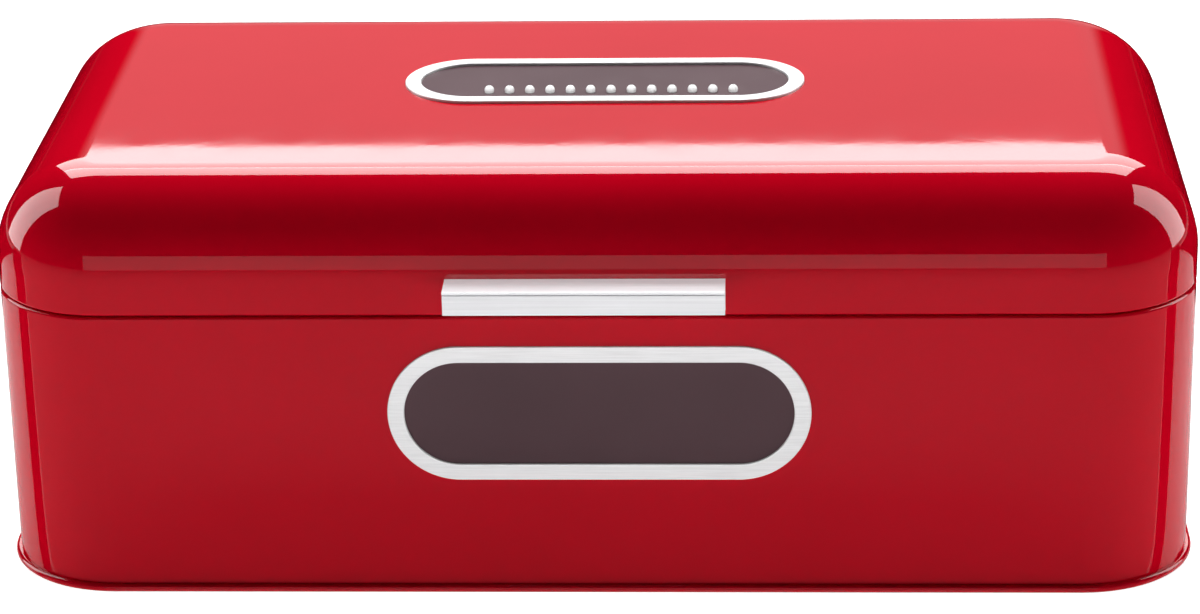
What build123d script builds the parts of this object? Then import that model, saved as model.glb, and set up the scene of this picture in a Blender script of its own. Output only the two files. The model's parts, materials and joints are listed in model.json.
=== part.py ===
from build123d import *
import os

# Bread box of painted sheet steel: a straight-sided body, a domed lid hinged along the back,
# an oval window in the front, an oval vent plate in the lid and a channel grip on the lid's
# front. Millimetres. The origin is the middle of the footprint on the table, +X to the
# right, +Y to the back, +Z up.

# Overall sizes
body_width = 430.0
body_depth = 229.0
body_height = 106.2  # table to the top of the rolled rim
lid_gap = 0.6  # between the rolled rim and the lid's lower edge
lid_height = 45.2
corner_radius = 41.0  # plan corners of body and lid
lid_edge_radius = 34.0  # rounding all round the lid's top
lid_skirt = 11.2  # upright wall below that rounding
sheet = 0.7

# Base: a panel hooked to the wall by a rolled seam
seam_overhang = 2.0
seam_height = 2.9
seam_radius = 1.4
seam_hook = 1.1
hook_height = 1.1
panel_rise = 2.2  # underside of the panel above the table
bead_inset = 28.0
bead_width = 4.0
bead_height = 0.8
pad_radius = 7.0
pad_inset_x = 50.0
pad_inset_y = 44.5

# Rims
rim_roll = 1.2  # radius of the body's rolled rim
lid_clearance = 0.4  # between the lid's curled edge and the collar
collar_rise = 3.5  # above the rim
collar_foot = 8.2  # below the rim, where the collar meets the wall
lap_width = 8.0
lap_line = 0.4
lap_line_depth = 0.25

# Front window and vent plate, both in the same oval frame
frame_length = 150.0
frame_height = 51.0
frame_band = 6.0
frame_proud = 1.0
frame_rounding = 0.45
window_x = 2.5
window_margin = 11.0  # rim to the frame's top edge
vent_x = 1.0
vent_y = 9.0
pane_thickness = 1.5
pane_seat = 1.6
seal_thickness = 1.0
crimp_thickness = 0.4
crimp_width = 1.0
sleeve_wall = 1.0
fit_gap = 0.2
retainer_overlap = 1.0
retainer_thickness = 0.8

# Air eyelets in the vent plate
eyelet_count = 13
eyelet_pitch = 7.58
eyelet_shift_x = 2.9
eyelet_shift_y = -12.0
eyelet_radius = 1.8
eyelet_collar = 0.8
eyelet_shank = 1.1
eyelet_bore = 0.5
eyelet_tail = 1.6
eyelet_tail_height = 0.4

# Grip: an aluminium channel, open downwards
grip_width = 98.0
grip_x = -1.6
grip_reach = 12.7
grip_top = 13.8  # above the lid's lower edge
grip_lip = 8.8
grip_flange = 11.2
grip_wall = 1.8
grip_step = 0.35
grip_bead = 1.0
grip_groove = 0.5
grip_groove_depth = 0.3
strip_length = 84.0
strip_height = 7.0
strip_thickness = 1.0
screw_spacing = 60.0
screw_radius = 1.5
screw_drop = 6.8  # below the grip's top
screw_head_radius = 2.6
screw_head_height = 1.8
screw_slot_width = 0.8

# Hinges
hinge_spacing = 240.0
hinge_width = 26.0
hinge_middle = 11.0
leaf_thickness = 1.0
body_leaf_drop = 18.0
lid_leaf_rise = 10.0
pin_radius = 1.1
pin_head_radius = 1.9
pin_head_height = 1.0
knuckle_wall = 1.2
knuckle_side_gap = 0.2
running_gap = 0.05
wall_gap = 0.1
turning_gap = 0.3
stop_angle = 100.0
stop_reach = 6.0
stop_thickness = 1.5
stop_gap = 0.25
rivet_spacing = 16.0
rivet_radius = 1.2
rivet_head_radius = 2.2
rivet_head_height = 0.9
rivet_tail_radius = 1.9
rivet_tail_height = 0.7
body_rivet_drop = 12.5
lid_rivet_rise = 6.8

# Worked out from the sizes above
half_depth = body_depth / 2
window_z = body_height - window_margin - frame_height / 2
lid_hem = rim_roll - lid_clearance / 2  # radius of the lid's curled edge
lid_bottom = body_height + lid_gap
lid_top = lid_bottom + lid_height
dome_radius = min(lid_edge_radius, lid_height - lid_skirt, corner_radius - 2 * sheet)
knuckle_radius = pin_radius + knuckle_wall
axis_y = half_depth + knuckle_radius + wall_gap
axis_z = body_height + lid_gap / 2
sleeve_inner = frame_band - pane_seat - fit_gap
sleeve_outer = sleeve_inner - sleeve_wall
pane_inset = frame_band - pane_seat
seal_depth = pane_thickness + seal_thickness
sleeve_depth = seal_depth + crimp_thickness

# Working planes: each looks at its face from outside the box
window_face = Plane(
    origin=(window_x, -half_depth, window_z), x_dir=(1, 0, 0), z_dir=(0, -1, 0)
)
vent_face = Plane(origin=(vent_x, vent_y, lid_top), x_dir=(1, 0, 0), z_dir=(0, 0, 1))
back_face = Plane(origin=(0, half_depth, axis_z), x_dir=(-1, 0, 0), z_dir=(0, 1, 0))
grip_face = Plane(
    origin=(grip_x, -half_depth, lid_bottom + grip_top), x_dir=(1, 0, 0), z_dir=(0, -1, 0)
)


def plan(inset, mode=Mode.ADD):
    """The rounded rectangle of the box's plan, moved in by inset."""
    RectangleRounded(
        body_width - 2 * inset, body_depth - 2 * inset, corner_radius - inset, mode=mode
    )


def slab(low, high, inset, mode=Mode.ADD):
    """A plate of the plan's shape between two heights."""
    with BuildSketch(Plane.XY.offset(low)) as outline:
        plan(inset)
    extrude(outline.sketch, amount=high - low, mode=mode)


def band(low, high, outside, inside, mode=Mode.ADD):
    """A ring of the plan's shape between two heights and two insets."""
    with BuildSketch(Plane.XY.offset(low)) as outline:
        plan(outside)
        plan(inside, mode=Mode.SUBTRACT)
    extrude(outline.sketch, amount=high - low, mode=mode)


def oval(face, low, high, inset, mode=Mode.ADD):
    """A plate of the window frame's outline, between two heights over the face."""
    with BuildSketch(face.offset(low)) as outline:
        SlotOverall(frame_length - 2 * inset, frame_height - 2 * inset)
    extrude(outline.sketch, amount=high - low, mode=mode)


def oval_ring(face, low, high, outside, inside):
    """A ring of the window frame's outline, between two heights over the face."""
    with BuildSketch(face.offset(low)) as outline:
        SlotOverall(frame_length - 2 * outside, frame_height - 2 * outside)
        SlotOverall(frame_length - 2 * inside, frame_height - 2 * inside, mode=Mode.SUBTRACT)
    extrude(outline.sketch, amount=high - low)


def round_holes(face, low, high, radius, places):
    """Round holes through whatever lies between two heights over the face."""
    with BuildSketch(face.offset(low)) as outline:
        with Locations(*places):
            Circle(radius)
    extrude(outline.sketch, amount=high - low, mode=Mode.SUBTRACT)


def save(piece, name):
    """Labels a finished piece and writes it."""
    piece.part.label = name
    export_step(piece.part, f"parts/{name}.step")


os.makedirs("parts", exist_ok=True)

# Places of the repeated fasteners, on the planes they are driven into
hinge_places = {"left": -hinge_spacing / 2, "right": hinge_spacing / 2}
screw_places = [(side * screw_spacing / 2, -screw_drop) for side in (-1, 1)]
hinge_columns = [
    -x + side * rivet_spacing / 2 for x in hinge_places.values() for side in (-1, 1)
]
body_rivet_places = [(x, -body_rivet_drop) for x in hinge_columns]
lid_rivet_places = [(x, lid_rivet_rise) for x in hinge_columns]

# Body wall: one strip of sheet bent round the plan and lapped at the back, hooked outwards
# at the foot and rolled inwards at the rim
with BuildPart() as body_wall:
    band(hook_height, body_height, 0, sheet)
    band(body_height - 2 * rim_roll, body_height, 0, 2 * rim_roll)
    rim_edges = body_wall.faces().sort_by(Axis.Z)[-1].edges()
    fillet(rim_edges, rim_roll * 0.96)
    band(hook_height, hook_height + sheet, -seam_hook, sheet)
    with BuildSketch(Plane.XY.offset(seam_height)) as lap:
        with Locations((0, half_depth - 1.5 * sheet)):
            Rectangle(lap_width, sheet)
    extrude(lap.sketch, amount=body_height - collar_foot - seam_height)
    with BuildSketch(Plane.XY.offset(seam_height)) as line:
        with Locations((lap_width / 2, half_depth)):
            Rectangle(lap_line, 2 * lap_line_depth)
    extrude(line.sketch, amount=body_height - 2 * rim_roll - seam_height, mode=Mode.SUBTRACT)
    oval(window_face, -2 * sheet, sheet, sleeve_outer - fit_gap, mode=Mode.SUBTRACT)
    round_holes(back_face, -2 * sheet, sheet, rivet_radius, body_rivet_places)
save(body_wall, "body_wall")

# Base: a sunk panel with a stiffening bead, its edge rolled round the wall's hooked foot
with BuildPart() as base_pan:
    slab(0, seam_height, -seam_overhang)
    roll_edges = base_pan.edges().group_by(Axis.Z)
    fillet(roll_edges[0] + roll_edges[-1], seam_radius)
    slab(0, panel_rise, 2 * sheet, mode=Mode.SUBTRACT)
    band(seam_height, seam_height + bead_height, bead_inset, bead_inset + bead_width)
    band(
        panel_rise,
        panel_rise + bead_height,
        bead_inset + sheet,
        bead_inset + bead_width - sheet,
        mode=Mode.SUBTRACT,
    )
    band(hook_height, seam_height, 0, sheet, mode=Mode.SUBTRACT)
    band(hook_height, hook_height + sheet, -seam_hook, sheet, mode=Mode.SUBTRACT)
save(base_pan, "base_pan")

# Pads in the base's recess, level with the rolled seam
with BuildPart() as base_pads:
    with BuildSketch(Plane.XY):
        with GridLocations(body_width - 2 * pad_inset_x, body_depth - 2 * pad_inset_y, 2, 2):
            Circle(pad_radius)
    extrude(amount=panel_rise)
    chamfer(base_pads.edges().group_by(Axis.Z)[0], panel_rise / 4)
save(base_pads, "base_pads")

# Collar: a joggled strip inside the rim that stands up and keeps the closed lid in place
with BuildPart() as rim_collar:
    collar_step = body_height - 2 * rim_roll - 2 * sheet
    band(body_height - collar_foot, collar_step, sheet, 2 * sheet)
    band(collar_step, collar_step + sheet, sheet, 2 * rim_roll + sheet)
    band(collar_step, body_height + collar_rise, 2 * rim_roll, 2 * rim_roll + sheet)
    top_edges = rim_collar.faces().sort_by(Axis.Z)[-1].edges()
    fillet(top_edges, sheet * 0.45)
save(rim_collar, "rim_collar")

# Lid: drawn in one piece, its lower edge curled inwards
with BuildPart() as lid_hollow:
    slab(lid_bottom, lid_top - sheet, sheet)
    fillet(lid_hollow.faces().sort_by(Axis.Z)[-1].edges(), dome_radius - sheet)

with BuildPart() as lid_shell:
    slab(lid_bottom, lid_top, 0)
    fillet(lid_shell.faces().sort_by(Axis.Z)[-1].edges(), dome_radius)
    add(lid_hollow.part, mode=Mode.SUBTRACT)
    band(lid_bottom, lid_bottom + 2 * lid_hem, 0, 2 * lid_hem)
    fillet(lid_shell.faces().sort_by(Axis.Z)[0].edges(), lid_hem * 0.96)
    oval(vent_face, -2 * sheet, sheet, sleeve_outer - fit_gap, mode=Mode.SUBTRACT)
    round_holes(back_face, -2 * sheet, sheet, rivet_radius, lid_rivet_places)
    round_holes(grip_face, -2 * sheet, sheet, screw_radius, screw_places)
save(lid_shell, "lid_shell")


def oval_frame(face):
    """An outer band, a sleeve through the sheet, and the sleeve's crimped inner edge."""
    with BuildPart() as piece:
        oval_ring(face, 0, frame_proud, 0, frame_band)
        outer_face = piece.faces().sort_by(Axis(face.origin, face.z_dir))[-1]
        fillet(outer_face.edges(), frame_rounding)
        oval_ring(face, -sleeve_depth, 0, sleeve_outer, sleeve_inner)
        oval_ring(face, -sleeve_depth, -seal_depth, sleeve_inner, sleeve_inner + crimp_width)
    return piece


def oval_pane(face):
    """The clear plate that lies in the sleeve, behind the band."""
    with BuildPart() as piece:
        oval(face, -pane_thickness, 0, pane_inset)
    return piece


def oval_seal(face):
    """The soft ring that holds the plate against the band."""
    with BuildPart() as piece:
        oval_ring(face, -seal_depth, -pane_thickness, pane_inset, frame_band)
    return piece


def oval_retainer(face):
    """The push-on ring that grips the sleeve behind the sheet."""
    with BuildPart() as piece:
        oval_ring(face, -sheet - retainer_thickness, -sheet, -retainer_overlap, sleeve_outer)
    return piece


# Front window
front_window_bezel = oval_frame(window_face)
front_window_pane = oval_pane(window_face)
front_window_seal = oval_seal(window_face)
front_window_retainer = oval_retainer(window_face)
save(front_window_bezel, "front_window_bezel")
save(front_window_pane, "front_window_pane")
save(front_window_seal, "front_window_seal")
save(front_window_retainer, "front_window_retainer")

# Vent in the lid: the same frame round a plate with a row of air eyelets
eyelet_places = [
    (eyelet_shift_x + eyelet_pitch * (i - (eyelet_count - 1) / 2), eyelet_shift_y)
    for i in range(eyelet_count)
]
vent_bezel = oval_frame(vent_face)
vent_seal = oval_seal(vent_face)
vent_retainer = oval_retainer(vent_face)
save(vent_bezel, "vent_bezel")
save(vent_seal, "vent_seal")
save(vent_retainer, "vent_retainer")

with BuildPart() as vent_plate:
    oval(vent_face, -pane_thickness, 0, pane_inset)
    round_holes(vent_face, -pane_thickness, 0, eyelet_shank, eyelet_places)
save(vent_plate, "vent_plate")

# Each eyelet: a domed collar over the plate, a shank through it and a flared tail below
with BuildPart() as eyelet:
    Cylinder(eyelet_radius, eyelet_collar, align=(Align.CENTER, Align.CENTER, Align.MIN))
    with Locations((0, 0, eyelet_collar)):
        Sphere(eyelet_radius, arc_size1=0, align=(Align.CENTER, Align.CENTER, Align.MIN))
    Cylinder(eyelet_shank, pane_thickness, align=(Align.CENTER, Align.CENTER, Align.MAX))
    with Locations((0, 0, -pane_thickness)):
        Cylinder(
            eyelet_tail, eyelet_tail_height, align=(Align.CENTER, Align.CENTER, Align.MAX)
        )
    Hole(eyelet_bore)

with BuildPart() as vent_eyelets:
    with Locations(vent_face):
        with Locations(*eyelet_places):
            add(eyelet.part)
save(vent_eyelets, "vent_eyelets")

# Grip: the channel's section, drawn outwards (x) and up (y) from its top back corner
lip_front = grip_reach - grip_step
lip_back = lip_front - grip_wall
groove_top = -grip_bead
groove_bottom = groove_top - grip_groove
grip_outline = [
    (0, 0),
    (grip_reach, 0),
    (grip_reach, groove_top),
    (lip_front - grip_groove_depth, groove_top),
    (lip_front - grip_groove_depth, groove_bottom),
    (lip_front, groove_bottom),
    (lip_front, -grip_lip),
    (lip_back, -grip_lip),
    (lip_back, -grip_wall),
    (grip_wall, -grip_wall),
    (grip_wall, -grip_flange),
    (0, -grip_flange),
]
grip_end = Plane(
    origin=grip_face.origin + Vector(grip_width / 2, 0, 0), x_dir=(0, -1, 0), z_dir=(-1, 0, 0)
)
with BuildPart() as grip:
    with BuildSketch(grip_end) as section:
        with BuildLine():
            Polyline(*grip_outline, close=True)
        make_face()
    extrude(amount=grip_width)
    round_holes(grip_face, 0, grip_wall, screw_radius, screw_places)
save(grip, "grip")

# Backing strip inside the lid, which the screws clamp against the grip's flange
with BuildPart() as grip_strip:
    with BuildSketch(grip_face.offset(-sheet - strip_thickness)) as outline:
        with Locations((0, -screw_drop)):
            RectangleRounded(strip_length, strip_height, strip_height / 3)
    extrude(amount=strip_thickness)
    round_holes(grip_face, -sheet - strip_thickness, -sheet, screw_radius, screw_places)
save(grip_strip, "grip_strip")

# Screws, driven from inside the lid into the grip's flange
screw_head_top = -sheet - strip_thickness
with BuildPart() as screw:
    with BuildSketch(Plane.XY.offset(screw_head_top)):
        Circle(screw_radius)
    extrude(amount=grip_wall - screw_head_top)
    with BuildSketch(Plane.XY.offset(screw_head_top - screw_head_height)):
        Circle(screw_head_radius)
    extrude(amount=screw_head_height)
    fillet(screw.edges().group_by(Axis.Z)[0], screw_head_height / 2)
    with BuildSketch(Plane.XY.offset(screw_head_top - screw_head_height)):
        Rectangle(2 * screw_head_radius, screw_slot_width)
        Rectangle(screw_slot_width, 2 * screw_head_radius)
        Circle(screw_head_radius * 0.7, mode=Mode.INTERSECT)
    extrude(amount=screw_head_height / 2, mode=Mode.SUBTRACT)

with BuildPart() as grip_screws:
    with Locations(grip_face):
        with Locations(*screw_places):
            add(screw.part)
save(grip_screws, "grip_screws")

# Hinges: knuckles run along X about (axis_y, axis_z)
fixed_start = hinge_middle / 2 + knuckle_side_gap
fixed_length = hinge_width / 2 - fixed_start
notch_height = knuckle_radius + turning_gap
lug_start = pin_radius + knuckle_wall / 2
lug_length = stop_reach - lug_start
lug_offset = leaf_thickness + stop_gap + stop_thickness / 2 - (axis_y - half_depth)
lug_middle = Vector(lug_offset, -lug_start - lug_length / 2).rotate(Axis.Z, stop_angle)


def knuckle(start, length, radius, mode=Mode.ADD):
    """A round bar about the hinge axis, from one place along it."""
    with BuildSketch(Plane.YZ.offset(start)) as outline:
        with Locations((axis_y, axis_z)):
            Circle(radius)
    extrude(outline.sketch, amount=length, mode=mode)


def body_leaf(x):
    """Lower leaf: a plate on the wall and two knuckles that hold the pin."""
    with BuildPart() as leaf:
        with BuildSketch(back_face) as plate:
            with Locations((-x, -body_leaf_drop / 2)):
                Rectangle(hinge_width, body_leaf_drop)
            fillet(plate.vertices().group_by(Axis.Y)[0], rivet_head_radius)
            with Locations((-x, -notch_height / 2)):
                Rectangle(2 * fixed_start, notch_height, mode=Mode.SUBTRACT)
        extrude(plate.sketch, amount=leaf_thickness)
        knuckle(x - hinge_width / 2, fixed_length, knuckle_radius)
        knuckle(x + fixed_start, fixed_length, knuckle_radius)
        knuckle(x - hinge_width, 2 * hinge_width, pin_radius, mode=Mode.SUBTRACT)
        round_holes(back_face, 0, leaf_thickness, rivet_radius, body_rivet_places)
    return leaf


def lid_leaf(x):
    """Upper leaf: a plate on the lid, the turning knuckle and the lug that stops it."""
    with BuildPart() as leaf:
        with BuildSketch(back_face) as plate:
            with Locations((-x, lid_leaf_rise / 2)):
                Rectangle(hinge_width, lid_leaf_rise)
            fillet(plate.vertices().group_by(Axis.Y)[-1], rivet_head_radius)
            for side in (-1, 1):
                with Locations((-x + side * (hinge_width + hinge_middle) / 4, notch_height / 2)):
                    Rectangle(
                        (hinge_width - hinge_middle) / 2, notch_height, mode=Mode.SUBTRACT
                    )
        extrude(plate.sketch, amount=leaf_thickness)
        knuckle(x - hinge_middle / 2, hinge_middle, knuckle_radius)
        with BuildSketch(Plane.YZ.offset(x - hinge_middle / 2)) as lug:
            with Locations((axis_y + lug_middle.X, axis_z + lug_middle.Y)):
                Rectangle(stop_thickness, lug_length, rotation=stop_angle)
        extrude(lug.sketch, amount=hinge_middle)
        knuckle(x - hinge_width, 2 * hinge_width, pin_radius + running_gap, mode=Mode.SUBTRACT)
        round_holes(back_face, 0, leaf_thickness, rivet_radius, lid_rivet_places)
    return leaf


def hinge_pin(x):
    """The pin, headed at one end and peened over at the other."""
    with BuildPart() as pin:
        knuckle(x - hinge_width / 2, hinge_width, pin_radius)
        knuckle(x - hinge_width / 2 - pin_head_height, pin_head_height, pin_head_radius)
        knuckle(x + hinge_width / 2, pin_head_height / 2, (pin_radius + pin_head_radius) / 2)
        ends = pin.faces().sort_by(Axis.X)
        fillet(ends[0].edges() + ends[-1].edges(), pin_head_height / 3)
    return pin


for side, x in hinge_places.items():
    save(body_leaf(x), f"hinge_body_leaf_{side}")
    save(lid_leaf(x), f"hinge_lid_leaf_{side}")
    save(hinge_pin(x), f"hinge_pin_{side}")

# Rivets: a domed head outside the leaf and a clinched tail inside the sheet
with BuildPart() as rivet:
    with BuildSketch(Plane.XY.offset(-sheet)):
        Circle(rivet_radius)
    extrude(amount=sheet + leaf_thickness)
    with BuildSketch(Plane.XY.offset(leaf_thickness)):
        Circle(rivet_head_radius)
    extrude(amount=rivet_head_height)
    fillet(rivet.edges().group_by(Axis.Z)[-1], rivet_head_height * 0.9)
    with BuildSketch(Plane.XY.offset(-sheet - rivet_tail_height)):
        Circle(rivet_tail_radius)
    extrude(amount=rivet_tail_height)

for group, places in (("body", body_rivet_places), ("lid", lid_rivet_places)):
    with BuildPart() as rivets:
        with Locations(back_face):
            with Locations(*places):
                add(rivet.part)
    save(rivets, f"hinge_{group}_rivets")
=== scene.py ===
# %% [markdown]
# # A red enamelled bread box
#
# The box is a straight-sided body of painted sheet steel with a domed lid hinged along its
# back. An oval window sits in the front, the same oval frame holds a vent plate in the lid,
# and an aluminium channel serves as the grip. Its shape and sizes are already settled as a
# set of solid parts. This lesson loads them, finishes them as the real metal, enamel, acrylic
# and rubber, and lights them as a small product in a studio.
#
# Loading comes first, because every other place in the scene is read from these parts.

# %% Load the parts
import json
from math import acos, cos, degrees, pi, radians, sin

import bmesh
import bpy
from mathutils import Matrix, Quaternion, Vector


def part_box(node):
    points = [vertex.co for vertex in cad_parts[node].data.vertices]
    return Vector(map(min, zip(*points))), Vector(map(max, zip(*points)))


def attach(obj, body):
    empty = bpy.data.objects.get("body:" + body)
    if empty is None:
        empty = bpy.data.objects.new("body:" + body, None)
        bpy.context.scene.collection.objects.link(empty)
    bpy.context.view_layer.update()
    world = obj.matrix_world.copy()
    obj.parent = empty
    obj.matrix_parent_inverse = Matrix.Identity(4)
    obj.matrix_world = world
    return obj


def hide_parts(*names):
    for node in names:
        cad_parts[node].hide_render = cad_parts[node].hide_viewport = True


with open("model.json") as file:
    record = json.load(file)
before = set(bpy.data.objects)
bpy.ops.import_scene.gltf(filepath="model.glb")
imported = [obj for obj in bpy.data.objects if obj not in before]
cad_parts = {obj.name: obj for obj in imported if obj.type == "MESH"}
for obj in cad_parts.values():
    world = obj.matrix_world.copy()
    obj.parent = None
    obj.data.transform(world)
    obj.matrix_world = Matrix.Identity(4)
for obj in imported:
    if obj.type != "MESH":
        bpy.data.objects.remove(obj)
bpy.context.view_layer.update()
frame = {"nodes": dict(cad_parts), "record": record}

nodes = frame["nodes"]

# %% [markdown]
# ## The camera
#
# A product like this is usually shot from a little above with a long lens, so that its upright
# edges stay nearly upright and the lid's curve is still seen from above. The camera could be
# turned by hand, but giving it a place and a point to look at keeps the view exact. A long lens
# is only a narrow angle: the camera stands far back, and the box hardly tapers.

# %% Stand the camera in front of the box
camera_place = Vector((0.06274, -1.32957, 0.59495))
looks_at = Vector((-0.00004, -0.04, 0.08031))
camera_roll = -0.02

camera_data = bpy.data.cameras.new("studio_camera")
camera_data.sensor_width = 36
camera_data.lens = 112.5
camera_data.clip_start = 0.05
camera = bpy.data.objects.new("studio_camera", camera_data)
bpy.context.scene.collection.objects.link(camera)
level = (looks_at - camera_place).to_track_quat("-Z", "Y")
camera.rotation_mode = "QUATERNION"
camera.rotation_quaternion = level @ Quaternion((0, 0, 1), camera_roll)
camera.location = camera_place
bpy.context.scene.camera = camera
bpy.context.scene.view_settings.view_transform = "Standard"
print("camera stands", round((looks_at - camera_place).length, 3), "m from the box")

# %% [markdown]
# ## The floor and the light
#
# Gloss enamel is a dark red mirror: most of what the eye reads as its shape is the room
# reflected in it. A wide softbox behind and above the box makes the long pale band along the
# lid's front curve. One softbox beside the box, at each side, makes the pale streak that runs
# round the lid's corner. The pale stripe down each corner of the body is the floor. The ceiling
# is left dark, which gives the deep red just under the band. A single big lamp would light the
# box, but it would leave no such bands.
#
# The floor needs three tones, one for each way that a ray can reach it: brightest where it is
# seen, a little darker where it throws light back at the box, and darker again where it is
# reflected in the enamel. A Light Path node tells the three apart.

# %% Lay a pale floor
FLOOR_SIZE = 14

floor_shape = bmesh.new()
bmesh.ops.create_grid(floor_shape, x_segments=1, y_segments=1, size=FLOOR_SIZE / 2)
floor_mesh = bpy.data.meshes.new("floor")
floor_shape.to_mesh(floor_mesh)
floor_shape.free()
floor = bpy.data.objects.new("floor", floor_mesh)
bpy.context.scene.collection.objects.link(floor)
print("floor", [round(side, 2) for side in floor.dimensions])

# %% Give the floor its three tones
seen_tone, seen_glow = 0.9, 0.6
bounced_tone = 0.72
mirrored_share = 0.74

floor_paper = bpy.data.materials.new("floor_paper")
floor_paper.use_nodes = True
paper_nodes = floor_paper.node_tree.nodes
paper_links = floor_paper.node_tree.links
paper = paper_nodes["Principled BSDF"]
paper.inputs["Roughness"].default_value = 0.9
paper.inputs["Specular IOR Level"].default_value = 0.1
paper.inputs["Emission Color"].default_value = (1, 1, 1, 1)
seen = paper_nodes.new("ShaderNodeLightPath")
paper_tone = paper_nodes.new("ShaderNodeMapRange")
paper_tone.inputs["To Min"].default_value = bounced_tone
paper_tone.inputs["To Max"].default_value = seen_tone
paper_lift = paper_nodes.new("ShaderNodeMapRange")
paper_lift.inputs["To Max"].default_value = seen_glow
mirrored_tone = paper_nodes.new("ShaderNodeMapRange")
mirrored_tone.inputs["To Min"].default_value = 1.0
mirrored_tone.inputs["To Max"].default_value = mirrored_share
floor_tone = paper_nodes.new("ShaderNodeMath")
floor_tone.operation = "MULTIPLY"
for node in (paper_tone, paper_lift):
    paper_links.new(seen.outputs["Is Camera Ray"], node.inputs["Value"])
paper_links.new(seen.outputs["Is Glossy Ray"], mirrored_tone.inputs["Value"])
paper_links.new(paper_tone.outputs["Result"], floor_tone.inputs[0])
paper_links.new(mirrored_tone.outputs["Result"], floor_tone.inputs[1])
paper_links.new(floor_tone.outputs["Value"], paper.inputs["Base Color"])
paper_links.new(paper_lift.outputs["Result"], paper.inputs["Emission Strength"])
floor.data.materials.append(floor_paper)
print("floor seen", seen_tone, "bounced", bounced_tone, "mirrored", bounced_tone * mirrored_share)

# %% [markdown]
# A softbox is an area light. What matters is where it stands as seen from the lid's front
# curve, because that is where it is reflected, so each one is placed by its direction and
# distance from there, and sized by the angle it fills. The fills are not seen in reflections:
# they only lift the colour, as light bounced off white walls would. With the two jobs split,
# the brightness of a band and the depth of the red can each be set by itself. The last fill
# falls on the floor alone, and the bright floor lights the box's front from below.

# %% Hang the softboxes
lid_low, lid_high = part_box("lid_shell")
lid_curve = Vector((0, 0.7 * lid_low.y, lid_high.z))


def softbox(name, azimuth, elevation, distance, width, height, glow, mirrored=True, lights=True):
    """An area light that faces the lid's curve. glow is the brightness of its surface."""
    light = bpy.data.lights.new(name, "AREA")
    light.shape = "RECTANGLE"
    light.size = width
    light.size_y = height
    light.energy = glow * pi * width * height
    lamp = bpy.data.objects.new(name, light)
    turn, rise = radians(azimuth), radians(elevation)
    away = Vector((sin(turn) * cos(rise), -cos(turn) * cos(rise), sin(rise)))
    lamp.location = lid_curve + away * distance
    lamp.rotation_euler = away.to_track_quat("Z", "Y").to_euler()
    lamp.visible_camera = False
    lamp.visible_glossy = mirrored
    lamp.visible_diffuse = lights
    bpy.context.scene.collection.objects.link(lamp)
    return lamp


softbox("back_softbox", 180, 27.66, 2.2, 2.3, 0.66, 3.8, lights=False)
softbox("high_softbox", 180, 43.6, 2.2, 2.3, 0.66, 5.6, lights=False)
for side in (-1, 1):
    side_place = (side * 106, 22, 1.6, 0.75, 1.5)
    softbox("side_softbox", *side_place, 4.4, lights=False)
    softbox("side_fill", *side_place, 2.5, mirrored=False)
softbox("top_fill", 180, 48, 2.4, 3.0, 1.0, 8.6, mirrored=False)
floor_fill = softbox("floor_fill", 0, 60, 1.2, 2.4, 0.9, 3.5, mirrored=False)
floor_only = bpy.data.collections.new("floor_only")
floor_only.objects.link(floor)
floor_fill.light_linking.receiver_collection = floor_only

# %% [markdown]
# Metal shows mostly what it faces. A photographer holds a white card in front of it, so the
# metal turns bright while the paint around it stays deep. Light linking does the same here:
# each card lights only the pieces in its collection, which are put there as they are made.
# Cards on the floor do the opposite. A grey one in front keeps the front's red deep, a black
# one beside each front corner leaves the dark line that makes the corner crisp, and one
# behind each side darkens the lid's edge.

# %% Hold two cards in front of the metal
front_metal = bpy.data.collections.new("front_metal")
raised_metal = bpy.data.collections.new("raised_metal")
metal_card = softbox("metal_card", 0, 2, 1.2, 2.6, 1.3, 2.0)
metal_card.light_linking.receiver_collection = front_metal
upper_card = softbox("upper_card", 0, 72, 1.2, 2.0, 1.0, 2.4)
upper_card.light_linking.receiver_collection = raised_metal
print("cards at", metal_card.location, upper_card.location)

# %% Lay cards on the floor
def card_paper(name, tone, glow=0):
    """A matt paper for the cards. glow is the light that it gives off by itself."""
    paper = bpy.data.materials.new(name)
    paper.use_nodes = True
    face = paper.node_tree.nodes["Principled BSDF"]
    face.inputs["Base Color"].default_value = (tone, tone, tone, 1)
    face.inputs["Roughness"].default_value = 1
    face.inputs["Specular IOR Level"].default_value = 0
    face.inputs["Emission Color"].default_value = (1, 1, 1, 1)
    face.inputs["Emission Strength"].default_value = glow
    return paper


CARD_LIFT = 0.0005


def floor_card(name, outline, paper):
    """A card just above the floor that only shows in reflections."""
    mesh = bpy.data.meshes.new(name)
    shape = bmesh.new()
    shape.faces.new([shape.verts.new((x, y, CARD_LIFT)) for x, y in outline])
    bmesh.ops.recalc_face_normals(shape, faces=shape.faces)
    shape.to_mesh(mesh)
    shape.free()
    mesh.materials.append(paper)
    card = bpy.data.objects.new(name, mesh)
    bpy.context.scene.collection.objects.link(card)
    card.visible_camera = False
    card.visible_diffuse = False
    card.visible_shadow = False


black_paper = card_paper("black_paper", 0)
grey_paper = card_paper("grey_paper", 0.22, 0.11)
left_front = [(-0.17, -0.119), (-0.2015, -0.1085), (-3.0, -0.05), (-6.0, -6.0)]
right_front = [(-x, y) for x, y in reversed(left_front)]
floor_card("grey_card", left_front + right_front, grey_paper)
wedge = [(0.2023, -0.1072), (0.2064, -0.1032), (1.927, 0.423), (2.0, -0.044)]
strip = [(0.225, 0.15), (1.3, 0.15), (1.6, 3.2), (0.225, 3.2)]
for side in (-1, 1):
    floor_card("corner_card", [(side * x, y) for x, y in wedge], black_paper)
    floor_card("side_card", [(side * x, y) for x, y in strip], black_paper)

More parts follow.
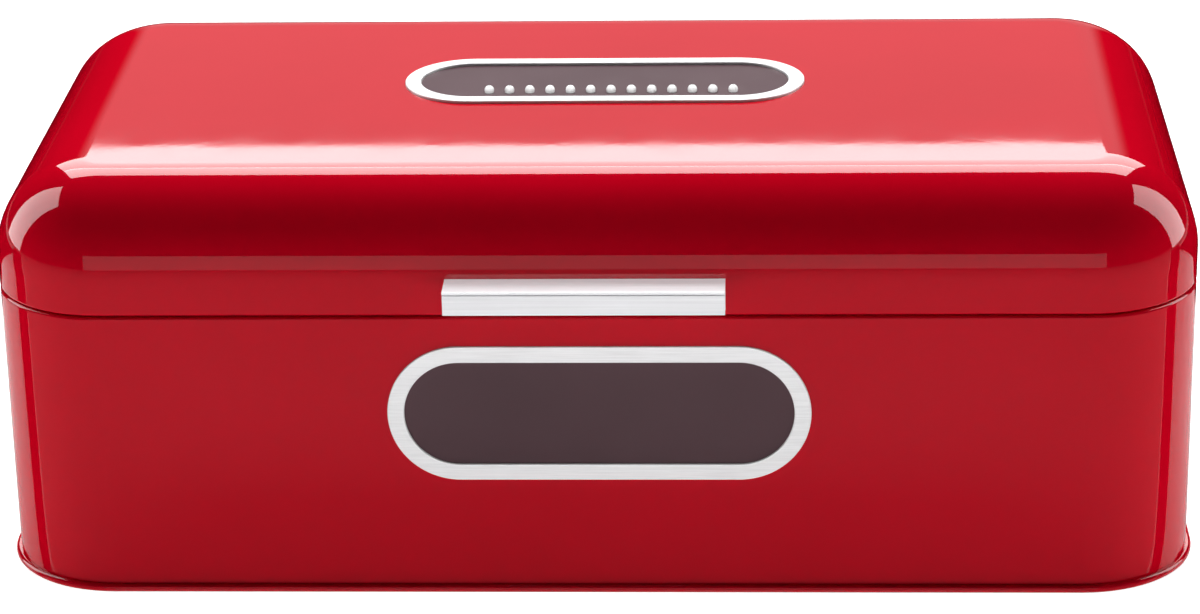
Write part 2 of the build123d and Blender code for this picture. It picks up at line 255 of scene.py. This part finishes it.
# %% [markdown]
# The rest of the room is a world shader. It reads the direction of each ray. Low down in
# front of and behind the box it is a mid grey, as walls would be, and everything else is nearly
# black. The wall behind fades out to each side, so the lid's top turns a deeper red towards
# its ends. Rays that come straight from the camera see a plain pale backdrop instead.

# %% Read the direction of each ray
room = bpy.data.worlds.new("studio_room")
room.use_nodes = True
bpy.context.scene.world = room
room_nodes = room.node_tree.nodes
room_links = room.node_tree.links


def sum_node(operation, first, second):
    """One step of arithmetic on the ray's direction."""
    step = room_nodes.new("ShaderNodeMath")
    step.operation = operation
    for place, value in zip(step.inputs, (first, second)):
        if isinstance(value, bpy.types.NodeSocket):
            room_links.new(value, place)
        else:
            place.default_value = value
    return step.outputs["Value"]


direction = room_nodes.new("ShaderNodeTexCoord")
split = room_nodes.new("ShaderNodeSeparateXYZ")
room_links.new(direction.outputs["Generated"], split.inputs["Vector"])
sideways = sum_node("ABSOLUTE", split.outputs["X"], 0)
in_front = sum_node("LESS_THAN", split.outputs["Y"], 0)
behind = sum_node("SUBTRACT", 1.0, in_front)
print("the ray's direction is read by", len(room_nodes), "nodes")

# %% Put up a wall in front and one behind
front_tone, rear_tone, dark_tone = 0.60, 0.43, 0.002
front_top, front_side = 0.27, 0.34
rear_top, rear_side, rear_full = 0.366, 0.26, 0.17

front_height = sum_node("LESS_THAN", split.outputs["Z"], front_top)
front_width = sum_node("LESS_THAN", sideways, front_side)
front_wall = sum_node("MULTIPLY", in_front, sum_node("MULTIPLY", front_height, front_width))
rear_height = sum_node("LESS_THAN", split.outputs["Z"], rear_top)
rear_fade = room_nodes.new("ShaderNodeMapRange")
rear_fade.interpolation_type = "SMOOTHSTEP"
rear_fade.inputs["From Min"].default_value = rear_side
rear_fade.inputs["From Max"].default_value = rear_full
room_links.new(sideways, rear_fade.inputs["Value"])
rear_wall = sum_node("MULTIPLY", rear_height, rear_fade.outputs["Result"])
rear_wall = sum_node("MULTIPLY", behind, rear_wall)
front_light = sum_node("MULTIPLY", front_wall, front_tone)
rear_light = sum_node("MULTIPLY", rear_wall, rear_tone)
tone = sum_node("ADD", sum_node("ADD", front_light, rear_light), dark_tone)
print("walls", front_tone, "and", rear_tone, "ceiling", dark_tone)

# %% Hang the backdrop
backdrop_tone = 0.93
backdrop = room_nodes.new("ShaderNodeMix")
backdrop.data_type = "RGBA"
backdrop.inputs["B"].default_value = (backdrop_tone, backdrop_tone, backdrop_tone, 1)
camera_ray = room_nodes.new("ShaderNodeLightPath")
room_links.new(tone, backdrop.inputs["A"])
room_links.new(camera_ray.outputs["Is Camera Ray"], backdrop.inputs["Factor"])
room_links.new(backdrop.outputs["Result"], room_nodes["Background"].inputs["Color"])
print("backdrop", backdrop_tone)

# %% [markdown]
# ## Finishes
#
# A finish is a small network of nodes that ends in one shader. Each pattern below is worked
# out from the object's own coordinates in metres, so a noise scale of 400 means a pattern
# about 2.5 mm across, wherever the piece lies. Painted picture textures could do the same
# work, but they blur close up and have to be unwrapped.

# %% Start a finish
def new_finish(name):
    """A material with one shader, and a short way to add and join its nodes."""
    material = bpy.data.materials.new(name)
    material.use_nodes = True
    tree = material.node_tree
    return material, tree, tree.nodes["Principled BSDF"]


def own_noise(tree, scale, detail=2.0, stretch=(1, 1, 1)):
    """Noise fixed to the object, stretched along its axes."""
    place = tree.nodes.new("ShaderNodeTexCoord")
    mapping = tree.nodes.new("ShaderNodeMapping")
    mapping.inputs["Scale"].default_value = stretch
    noise = tree.nodes.new("ShaderNodeTexNoise")
    noise.inputs["Scale"].default_value = scale
    noise.inputs["Detail"].default_value = detail
    tree.links.new(place.outputs["Object"], mapping.inputs["Vector"])
    tree.links.new(mapping.outputs["Vector"], noise.inputs["Vector"])
    return noise.outputs["Fac"]


def between(tree, factor, low, high):
    """A number that runs from low to high as the pattern runs from dark to light."""
    span = tree.nodes.new("ShaderNodeMapRange")
    span.inputs["From Min"].default_value = 0.3
    span.inputs["From Max"].default_value = 0.7
    span.inputs["To Min"].default_value = low
    span.inputs["To Max"].default_value = high
    tree.links.new(factor, span.inputs["Value"])
    return span.outputs["Result"]


def colours(tree, factor, dark, light):
    """A colour that runs between two tones with the pattern."""
    ramp = tree.nodes.new("ShaderNodeValToRGB")
    ramp.color_ramp.elements[0].position = 0.3
    ramp.color_ramp.elements[0].color = (*dark, 1)
    ramp.color_ramp.elements[1].position = 0.7
    ramp.color_ramp.elements[1].color = (*light, 1)
    tree.links.new(factor, ramp.inputs["Fac"])
    return ramp.outputs["Color"]


def relief(tree, shader, height, depth):
    """Turns the pattern into a fine relief, depth in metres."""
    bump = tree.nodes.new("ShaderNodeBump")
    bump.inputs["Strength"].default_value = 1.0
    bump.inputs["Distance"].default_value = depth
    tree.links.new(height, bump.inputs["Height"])
    tree.links.new(bump.outputs["Normal"], shader.inputs["Normal"])


finishes = {}
print("helpers ready")

# %% [markdown]
# ### Red enamel
#
# The box is dipped or sprayed and then baked. The coat is thick, glossy and never quite flat:
# it keeps a faint orange-peel ripple a few millimetres across, which is what makes the edge of
# a reflection look slightly soft. The colour itself is almost even, with a little depth where
# the coat is thicker.

# %% Red enamel
enamel, tree, shader = new_finish("red_enamel")
coat_depth = own_noise(tree, 11, 3)
peel = own_noise(tree, 330, 2)
enamel_red = colours(tree, coat_depth, (0.77, 0.0006, 0.016), (0.82, 0.0008, 0.019))
tree.links.new(enamel_red, shader.inputs["Base Color"])
tree.links.new(between(tree, own_noise(tree, 60, 3), 0.016, 0.030), shader.inputs["Roughness"])
relief(tree, shader, peel, 0.000001)
shader.inputs["Specular IOR Level"].default_value = 0.5
finishes["red_enamel"] = enamel
print("red enamel uses", len(tree.nodes), "nodes")

# %% [markdown]
# ### Brushed aluminium
#
# The grip is an extruded channel, brushed along its length, so its scratches run along X. The
# oval frames are pressed from sheet and then brushed too, but finer. A scratch pattern is
# only noise that is drawn out along one axis. It drives the roughness and a very shallow
# relief, and the light does the rest.
#
# The grip and the frames have a near white satin look, as anodised metal has, whose clear
# skin scatters much of the light. A shader with Metallic at 1 only mirrors, and turns grey
# wherever this dark room is mirrored. A low Metallic is a compromise that keeps them pale. The
# steel pieces and the rivets stay full metal.

# %% Brushed aluminium
def brushed_metal(name, tone, rough, stretch, depth, metallic=1.0):
    """A metal with scratches drawn out along the axis that has the smallest stretch."""
    material, tree, shader = new_finish(name)
    scratches = own_noise(tree, 1, 4, stretch)
    dark = tuple(0.88 * part for part in tone)
    tree.links.new(colours(tree, scratches, dark, tone), shader.inputs["Base Color"])
    tree.links.new(between(tree, scratches, *rough), shader.inputs["Roughness"])
    relief(tree, shader, scratches, depth)
    shader.inputs["Metallic"].default_value = metallic
    finishes[name] = material


brushed_metal("grip_metal", (0.78, 0.78, 0.80), (0.36, 0.50), (14, 1800, 1800), 0.00001, 0.25)
brushed_metal("bezel_metal", (0.90, 0.90, 0.91), (0.34, 0.50), (60, 2400, 2400), 0.000006, 0.2)
brushed_metal("plain_steel", (0.60, 0.60, 0.60), (0.22, 0.36), (40, 1300, 1300), 0.000006)
brushed_metal("hinge_steel", (0.66, 0.66, 0.67), (0.24, 0.38), (50, 1500, 1500), 0.000008)
brushed_metal("rivet_metal", (0.76, 0.76, 0.77), (0.16, 0.28), (900, 900, 900), 0.000004)
print("metals:", sorted(name for name in finishes if name != "red_enamel"))

# %% [markdown]
# ### Smoked acrylic, plastic and rubber
#
# The window is a sheet dyed almost black, polished on both faces. So little comes through it
# that it is made opaque, with a faint cloud in its colour. The eyelets are white plastic. The
# seals and pads are plain rubber: dull, with a grain fine enough to scatter every highlight.

# %% Smoked acrylic and white plastic
smoked, tree, shader = new_finish("smoked_acrylic")
cloud = own_noise(tree, 14, 2)
smoke = colours(tree, cloud, (0.132, 0.074, 0.086), (0.153, 0.087, 0.101))
tree.links.new(smoke, shader.inputs["Base Color"])
tree.links.new(between(tree, own_noise(tree, 90, 3), 0.03, 0.07), shader.inputs["Roughness"])
shader.inputs["IOR"].default_value = 1.49
shader.inputs["Specular IOR Level"].default_value = 0.3
finishes["smoked_acrylic"] = smoked

white, tree, shader = new_finish("eyelet_plastic")
milky = colours(tree, own_noise(tree, 500, 2), (0.80, 0.80, 0.80), (0.88, 0.88, 0.88))
tree.links.new(milky, shader.inputs["Base Color"])
tree.links.new(between(tree, own_noise(tree, 900, 2), 0.22, 0.34), shader.inputs["Roughness"])
finishes["eyelet_plastic"] = white
print("plastics done")

# %% Rubber
def rubber(name, tone, grain):
    """A dull rubber with a fine grain."""
    material, tree, shader = new_finish(name)
    skin = own_noise(tree, grain, 4)
    light = tuple(1.4 * part for part in tone)
    tree.links.new(colours(tree, skin, tone, light), shader.inputs["Base Color"])
    tree.links.new(between(tree, skin, 0.62, 0.85), shader.inputs["Roughness"])
    relief(tree, shader, skin, 0.00005)
    finishes[name] = material


rubber("seal_rubber", (0.025, 0.025, 0.026), 1500)
rubber("pad_rubber", (0.045, 0.045, 0.047), 1100)
print("finishes:", sorted(finishes))

# %% Put each finish on its parts
for subpart in frame["record"]["subparts"]:
    part = nodes[subpart["node"]]
    for place in part.material_slots:
        place.material = finishes[subpart["material_slot"]]

# %% [markdown]
# ## Pieces with a flowing surface
#
# Enamel shows every flat in a curved surface, because its reflections bend at each one. The
# lid, the oval frames, the grip and the eyelets are therefore modelled again with finer
# curves, in exactly the space of the parts that they stand for.
#
# Nearly all of them are one section carried round a path. Drawing the section once and
# carrying it round with spin and extrude keeps the wall even, as bending sheet metal does.
# Boolean cuts and a bevel would give the same outline, with uneven faces at the corners.
# The sizes below are in millimetres, as on a drawing, and MM turns them into metres.

# %% Draw a section and carry it round
MM = 0.001


def arc(centre, radius, start, end, steps):
    """Points of a circle's arc in the section's plane, angles in degrees."""
    turns = [radians(start + (end - start) * i / steps) for i in range(steps + 1)]
    return [(centre[0] + radius * cos(a), centre[1] + radius * sin(a)) for a in turns]


def draw_section(shape, points, corner, outward, closed=True):
    """Edges of a section. A point is (distance from the corner's centre, height), in mm."""
    dots = [
        shape.verts.new(
            (
                (corner[0] + outward[0] * reach) * MM,
                (corner[1] + outward[1] * reach) * MM,
                height * MM,
            )
        )
        for reach, height in points
    ]
    pairs = list(zip(dots, dots[1:] + dots[:1])) if closed else list(zip(dots, dots[1:]))
    return [shape.edges.new(pair) for pair in pairs]


def carry_round(shape, section, corners, steps):
    """Turns the section round each corner and draws it straight to the next one."""
    for here, there in zip(corners, corners[1:] + corners[:1]):
        dots = list({dot for edge in section for dot in edge.verts})
        turned = bmesh.ops.spin(
            shape,
            geom=dots + section,
            cent=(here[0] * MM, here[1] * MM, 0),
            axis=(0, 0, 1),
            angle=radians(360 / len(corners)),
            steps=steps,
            use_merge=False,
        )
        section = [item for item in turned["geom_last"] if isinstance(item, bmesh.types.BMEdge)]
        drawn = bmesh.ops.extrude_edge_only(shape, edges=section)["geom"]
        moved = {item for item in drawn if isinstance(item, bmesh.types.BMVert)}
        run = Vector((there[0] - here[0], there[1] - here[1], 0)) * MM
        bmesh.ops.translate(shape, vec=run, verts=list(moved))
        edges = [item for item in drawn if isinstance(item, bmesh.types.BMEdge)]
        section = [edge for edge in edges if all(dot in moved for dot in edge.verts)]


print("a quarter arc of 4 steps:", len(arc((0, 0), 1, 0, 90, 4)), "points")

# %% [markdown]
# Every piece ends the same way. Points that lie on each other are merged, the faces are turned
# outwards, and the shading is smoothed except at real edges. Weighted normals let the large
# flat faces decide, so that a flat panel beside a rounded edge still mirrors flat.

# %% Close a piece
SAME_POINT = 1e-6


def close_piece(shape, name, body, slot, stands_for, sharp=38):
    """Makes the shape a finished piece that rides on a body and stands for a part."""
    bmesh.ops.remove_doubles(shape, verts=shape.verts, dist=SAME_POINT)
    bmesh.ops.recalc_face_normals(shape, faces=shape.faces)
    torn = sum(not edge.is_manifold or not edge.is_contiguous for edge in shape.edges)
    volume = shape.calc_volume(signed=True) / MM ** 3
    mesh = bpy.data.meshes.new(name)
    shape.to_mesh(mesh)
    shape.free()
    mesh.shade_smooth()
    mesh.set_sharp_from_angle(angle=radians(sharp))
    mesh.materials.append(finishes[slot])
    piece = bpy.data.objects.new(name, mesh)
    bpy.context.scene.collection.objects.link(piece)
    even = piece.modifiers.new("even_normals", "WEIGHTED_NORMAL")
    even.weight = 100
    even.keep_sharp = True
    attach(piece, body)
    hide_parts(stands_for)
    low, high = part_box(stands_for)
    print(name, [round(x / MM, 1) for x in piece.dimensions], "mm, bad edges", torn,
          "volume", round(volume), "mm3")
    print("it stands for", stands_for, [round(x / MM, 1) for x in high - low], "mm")
    return piece


print("pieces are merged at", SAME_POINT, "m")

# %% [markdown]
# ### The lid
#
# The real lid is drawn from one sheet in a press: a flat top, a wide even curve all round and
# a short upright skirt, whose lower edge is curled inwards so that it can't cut. Its section
# is drawn from the flat's edge over the curve, down the skirt, round the curl and back up
# inside, 0.7 mm away.

# %% Carry the lid's section round
sheet = 0.7
corner_radius = 41
dome_radius = 34
curl_radius = 1.0
dome_steps, curl_steps, corner_steps = 30, 20, 28
lid_bottom = lid_low.z / MM
lid_top = lid_high.z / MM
lid_plan = [
    (sx * (lid_high.x / MM - corner_radius), sy * (lid_high.y / MM - corner_radius))
    for sx, sy in ((1, 1), (-1, 1), (-1, -1), (1, -1))
]
flat_edge = corner_radius - dome_radius
spring = lid_top - dome_radius
curl_middle = (corner_radius - curl_radius, lid_bottom + curl_radius)
curl_turn = 360 - degrees(acos(1 - sheet / curl_radius))
lid_section = (
    [(flat_edge, lid_top)]
    + arc((flat_edge, spring), dome_radius, 90, 0, dome_steps)[1:]
    + arc(curl_middle, curl_radius, 0, -curl_turn, curl_steps)
    + arc((flat_edge, spring), dome_radius - sheet, 0, 90, dome_steps)
)
lid = bmesh.new()
lid_edges = draw_section(lid, lid_section, lid_plan[0], (1, 0), closed=False)
carry_round(lid, lid_edges, lid_plan, corner_steps)
bmesh.ops.remove_doubles(lid, verts=lid.verts, dist=SAME_POINT)
print("lid section has", len(lid_section), "points, the lid", len(lid.faces), "faces so far")

# %% [markdown]
# The flat in the middle has an oval hole for the vent. The hole's rim is drawn once and
# extruded down through the sheet. Then one bridge above and one below join it to the flat's
# edge. A bridge can come out twisted without looking wrong from above, so each one's area is
# compared with the area that it has to fill.

# %% Draw the rim of the vent's hole
OVAL_STEPS = 48


def oval_outline(shape, middle, half_length, half_height, level):
    """A closed oval of edges: a circle whose halves are moved apart."""
    ring = bmesh.ops.create_circle(shape, segments=OVAL_STEPS, radius=half_height * MM)["verts"]
    half_step = Matrix.Rotation(radians(180 / OVAL_STEPS), 3, "Z")
    bmesh.ops.rotate(shape, verts=ring, cent=(0, 0, 0), matrix=half_step)
    for side in (-1, 1):
        half = [dot for dot in ring if dot.co.x * side > 0]
        bmesh.ops.translate(shape, verts=half, vec=(side * (half_length - half_height) * MM, 0, 0))
    bmesh.ops.translate(shape, verts=ring, vec=(middle[0] * MM, middle[1] * MM, level * MM))
    return list({edge for dot in ring for edge in dot.link_edges})


vent_low, vent_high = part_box("vent_bezel")
vent_middle = ((vent_low.x + vent_high.x) / 2 / MM, (vent_low.y + vent_high.y) / 2 / MM)
hole_inset = 3.0
half_length = (vent_high.x - vent_low.x) / 2 / MM - hole_inset
half_height = (vent_high.y - vent_low.y) / 2 / MM - hole_inset
top_rim = oval_outline(lid, vent_middle, half_length, half_height, lid_top)
drawn = bmesh.ops.extrude_edge_only(lid, edges=top_rim)["geom"]
sunk = {item for item in drawn if isinstance(item, bmesh.types.BMVert)}
bmesh.ops.translate(lid, vec=(0, 0, -sheet * MM), verts=list(sunk))
edges = [item for item in drawn if isinstance(item, bmesh.types.BMEdge)]
low_rim = [edge for edge in edges if all(dot in sunk for dot in edge.verts)]
print("the rim has", len(top_rim), "edges above and", len(low_rim), "below")

# %% Fill the flat round the hole
for level, hole_rim in ((lid_top, top_rim), (lid_top - sheet, low_rim)):
    flat_rim = [
        edge for edge in lid.edges
        if edge.is_boundary and edge not in hole_rim
        and all(abs(dot.co.z - level * MM) < SAME_POINT for dot in edge.verts)
    ]
    bridge = bmesh.ops.bridge_loops(lid, edges=flat_rim + hole_rim)["faces"]
    filled = sum(face.calc_area() for face in bridge) / MM ** 2
    print("a bridge of", len(bridge), "faces fills", round(filled), "mm2")
open_edges = sum(edge.is_boundary for edge in lid.edges)
flat_x = (lid_high.x - lid_low.x) / MM - 2 * dome_radius
flat_y = (lid_high.y - lid_low.y) / MM - 2 * dome_radius
corner_loss = (4 - pi) * flat_edge ** 2
hole_area = 4 * (half_length - half_height) * half_height + pi * half_height ** 2
print("it should be", round(flat_x * flat_y - corner_loss - hole_area), "mm2")
print("open edges left in the lid:", open_edges)
close_piece(lid, "lid_dome", "lid", "red_enamel", "lid_shell")

# %% [markdown]
# ### The oval frames
#
# The same pressed aluminium frame holds the window and the vent plate. Outside is a flat band
# with eased edges. Behind it a sleeve goes through the hole in the sheet, and its inner edge
# is crimped over to hold the plate.

# %% Carry the frame's section round
frame_round = 0.45
frame_round_steps = 6
frame_proud = 1.0
frame_length = (vent_high.x - vent_low.x) / MM
frame_height = (vent_high.y - vent_low.y) / MM
band = 6.0
end_radius = frame_height / 2
run_half = frame_length / 2 - end_radius
sleeve_outer, sleeve_inner = end_radius - 3.2, end_radius - 4.2
crimp_inner = sleeve_inner - 1
sleeve_end, crimp_top = -2.9, -2.5
shoulder = frame_proud - frame_round
band_inner = end_radius - band
frame_section = (
    [(end_radius, 0)]
    + arc((end_radius - frame_round, shoulder), frame_round, 0, 90, frame_round_steps)
    + arc((band_inner + frame_round, shoulder), frame_round, 90, 180, frame_round_steps)
    + [(band_inner, 0), (sleeve_inner, 0), (sleeve_inner, crimp_top)]
    + [(crimp_inner, crimp_top), (crimp_inner, sleeve_end)]
    + [(sleeve_outer, sleeve_end), (sleeve_outer, 0)]
)
frame_ends = [(run_half, 0), (-run_half, 0)]


def oval_frame(name, body, stands_for, place):
    """An oval frame, drawn lying flat and then set in its face."""
    shape = bmesh.new()
    section = draw_section(shape, frame_section, frame_ends[0], (0, -1))
    carry_round(shape, section, frame_ends, OVAL_STEPS)
    bmesh.ops.transform(shape, matrix=place, verts=shape.verts)
    return close_piece(shape, name, body, "bezel_metal", stands_for)


window_low, window_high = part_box("front_window_bezel")
window_middle = (window_low + window_high) / 2
window_middle.y = window_low.y + frame_proud * MM
upright = Matrix.Translation(window_middle) @ Matrix.Rotation(radians(90), 4, "X")
window_frame = oval_frame("window_frame", "box", "front_window_bezel", upright)
lying = Matrix.Translation((vent_middle[0] * MM, vent_middle[1] * MM, lid_high.z))
oval_frame("vent_frame", "lid", "vent_bezel", lying)
front_metal.objects.link(window_frame)
print("frame section has", len(frame_section), "points")

# %% [markdown]
# ### The grip
#
# The grip is cut from an extruded aluminium channel that is open downwards, so that fingers
# reach up behind its front lip. A raised bead along the top of the lip catches the light as
# one bright line, above a fine groove. The outline is drawn at one end and extruded to its
# length. The bead's front edge gets a wide bevel, which is what catches the light, and a narrow
# bevel eases all the others, because no real extrusion has a knife edge.

# %% Extrude the grip
grip_low, grip_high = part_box("grip")
back, top = grip_high.y / MM, grip_high.z / MM
reach, wall, lip, flange = 12.7, 1.8, 8.8, 11.2
step, bead, groove, groove_depth = 0.35, 1.0, 0.6, 1.1
lip_front = reach - step
grip_outline = [
    (0, 0), (reach, 0), (reach, -bead), (lip_front - groove_depth, -bead),
    (lip_front - groove_depth, -bead - groove), (lip_front, -bead - groove),
    (lip_front, -lip), (lip_front - wall, -lip), (lip_front - wall, -wall),
    (wall, -wall), (wall, -flange), (0, -flange),
]
grip_shape = bmesh.new()
outline = [
    grip_shape.verts.new((grip_low.x, (back - out) * MM, (top + up) * MM))
    for out, up in grip_outline
]
end_face = grip_shape.faces.new(outline)
drawn = bmesh.ops.extrude_face_region(grip_shape, geom=[end_face])["geom"]
far_end = [item for item in drawn if isinstance(item, bmesh.types.BMVert)]
bmesh.ops.translate(grip_shape, vec=(grip_high.x - grip_low.x, 0, 0), verts=far_end)
print("grip outline has", len(grip_outline), "corners, the grip", len(grip_shape.faces), "faces")

# %% Ease the grip's edges
bead_ease, edge_ease = 0.45, 0.12
bead_edge = [
    edge for edge in grip_shape.edges
    if all(abs(dot.co.z - grip_high.z) < SAME_POINT for dot in edge.verts)
    and all(abs(dot.co.y - grip_low.y) < SAME_POINT for dot in edge.verts)
]
bead_bevel = bmesh.ops.bevel(
    grip_shape, geom=bead_edge, offset=bead_ease * MM, offset_type="OFFSET",
    affect="EDGES", segments=6, profile=0.5, material=-1, clamp_overlap=True,
)
rounded = {edge for face in bead_bevel["faces"] for edge in face.edges}
bmesh.ops.bevel(
    grip_shape, geom=[edge for edge in grip_shape.edges if edge not in rounded],
    offset=edge_ease * MM, offset_type="OFFSET",
    affect="EDGES", segments=3, profile=0.5, material=-1, clamp_overlap=True,
)
grip_piece = close_piece(grip_shape, "grip_channel", "lid", "grip_metal", "grip", sharp=50)
front_metal.objects.link(grip_piece)
raised_metal.objects.link(grip_piece)
print("edges eased by", bead_ease, "and", edge_ease, "mm")

# %% [markdown]
# ### The air eyelets
#
# Thirteen plastic eyelets are pushed through the vent plate in a row. Each has a domed collar
# above, a shank through the plate, a flared tail below and a fine bore for the air. One half
# section spun through a full turn makes an eyelet, and the loop sets it at each place.

# %% Spin the eyelets
eyelet_count, eyelet_pitch = 13, 7.58
eyelet_low, eyelet_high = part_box("vent_eyelets")
row_middle = (eyelet_low + eyelet_high) / 2
dome, collar, shank, tail, bore = 1.8, 0.8, 1.1, 1.6, 0.5
plate, flare, chamfer = 1.5, 0.4, 0.1
rim_angle = 73.9
dome_bands, eyelet_steps = 12, 28
eyelet_section = (
    [(bore, -plate - flare), (tail, -plate - flare), (tail, -plate)]
    + [(shank, -plate), (shank, 0), (dome - chamfer, 0)]
    + arc((0, collar), dome, 0, rim_angle, dome_bands)
)
eyelets = bmesh.new()
for count in range(eyelet_count):
    along = row_middle.x / MM + eyelet_pitch * (count - (eyelet_count - 1) / 2)
    middle = Vector((along, row_middle.y / MM, 0)) * MM
    dots = [
        eyelets.verts.new(middle + Vector((out, 0, lid_top + up)) * MM)
        for out, up in eyelet_section
    ]
    edges = [eyelets.edges.new(pair) for pair in zip(dots, dots[1:] + dots[:1])]
    bmesh.ops.spin(
        eyelets, geom=dots + edges, cent=middle, axis=(0, 0, 1), angle=radians(360),
        steps=eyelet_steps, use_merge=True,
    )
eyelet_piece = close_piece(eyelets, "air_eyelets", "lid", "eyelet_plastic", "vent_eyelets")
front_metal.objects.link(eyelet_piece)
raised_metal.objects.link(eyelet_piece)
print(eyelet_count, "eyelets")
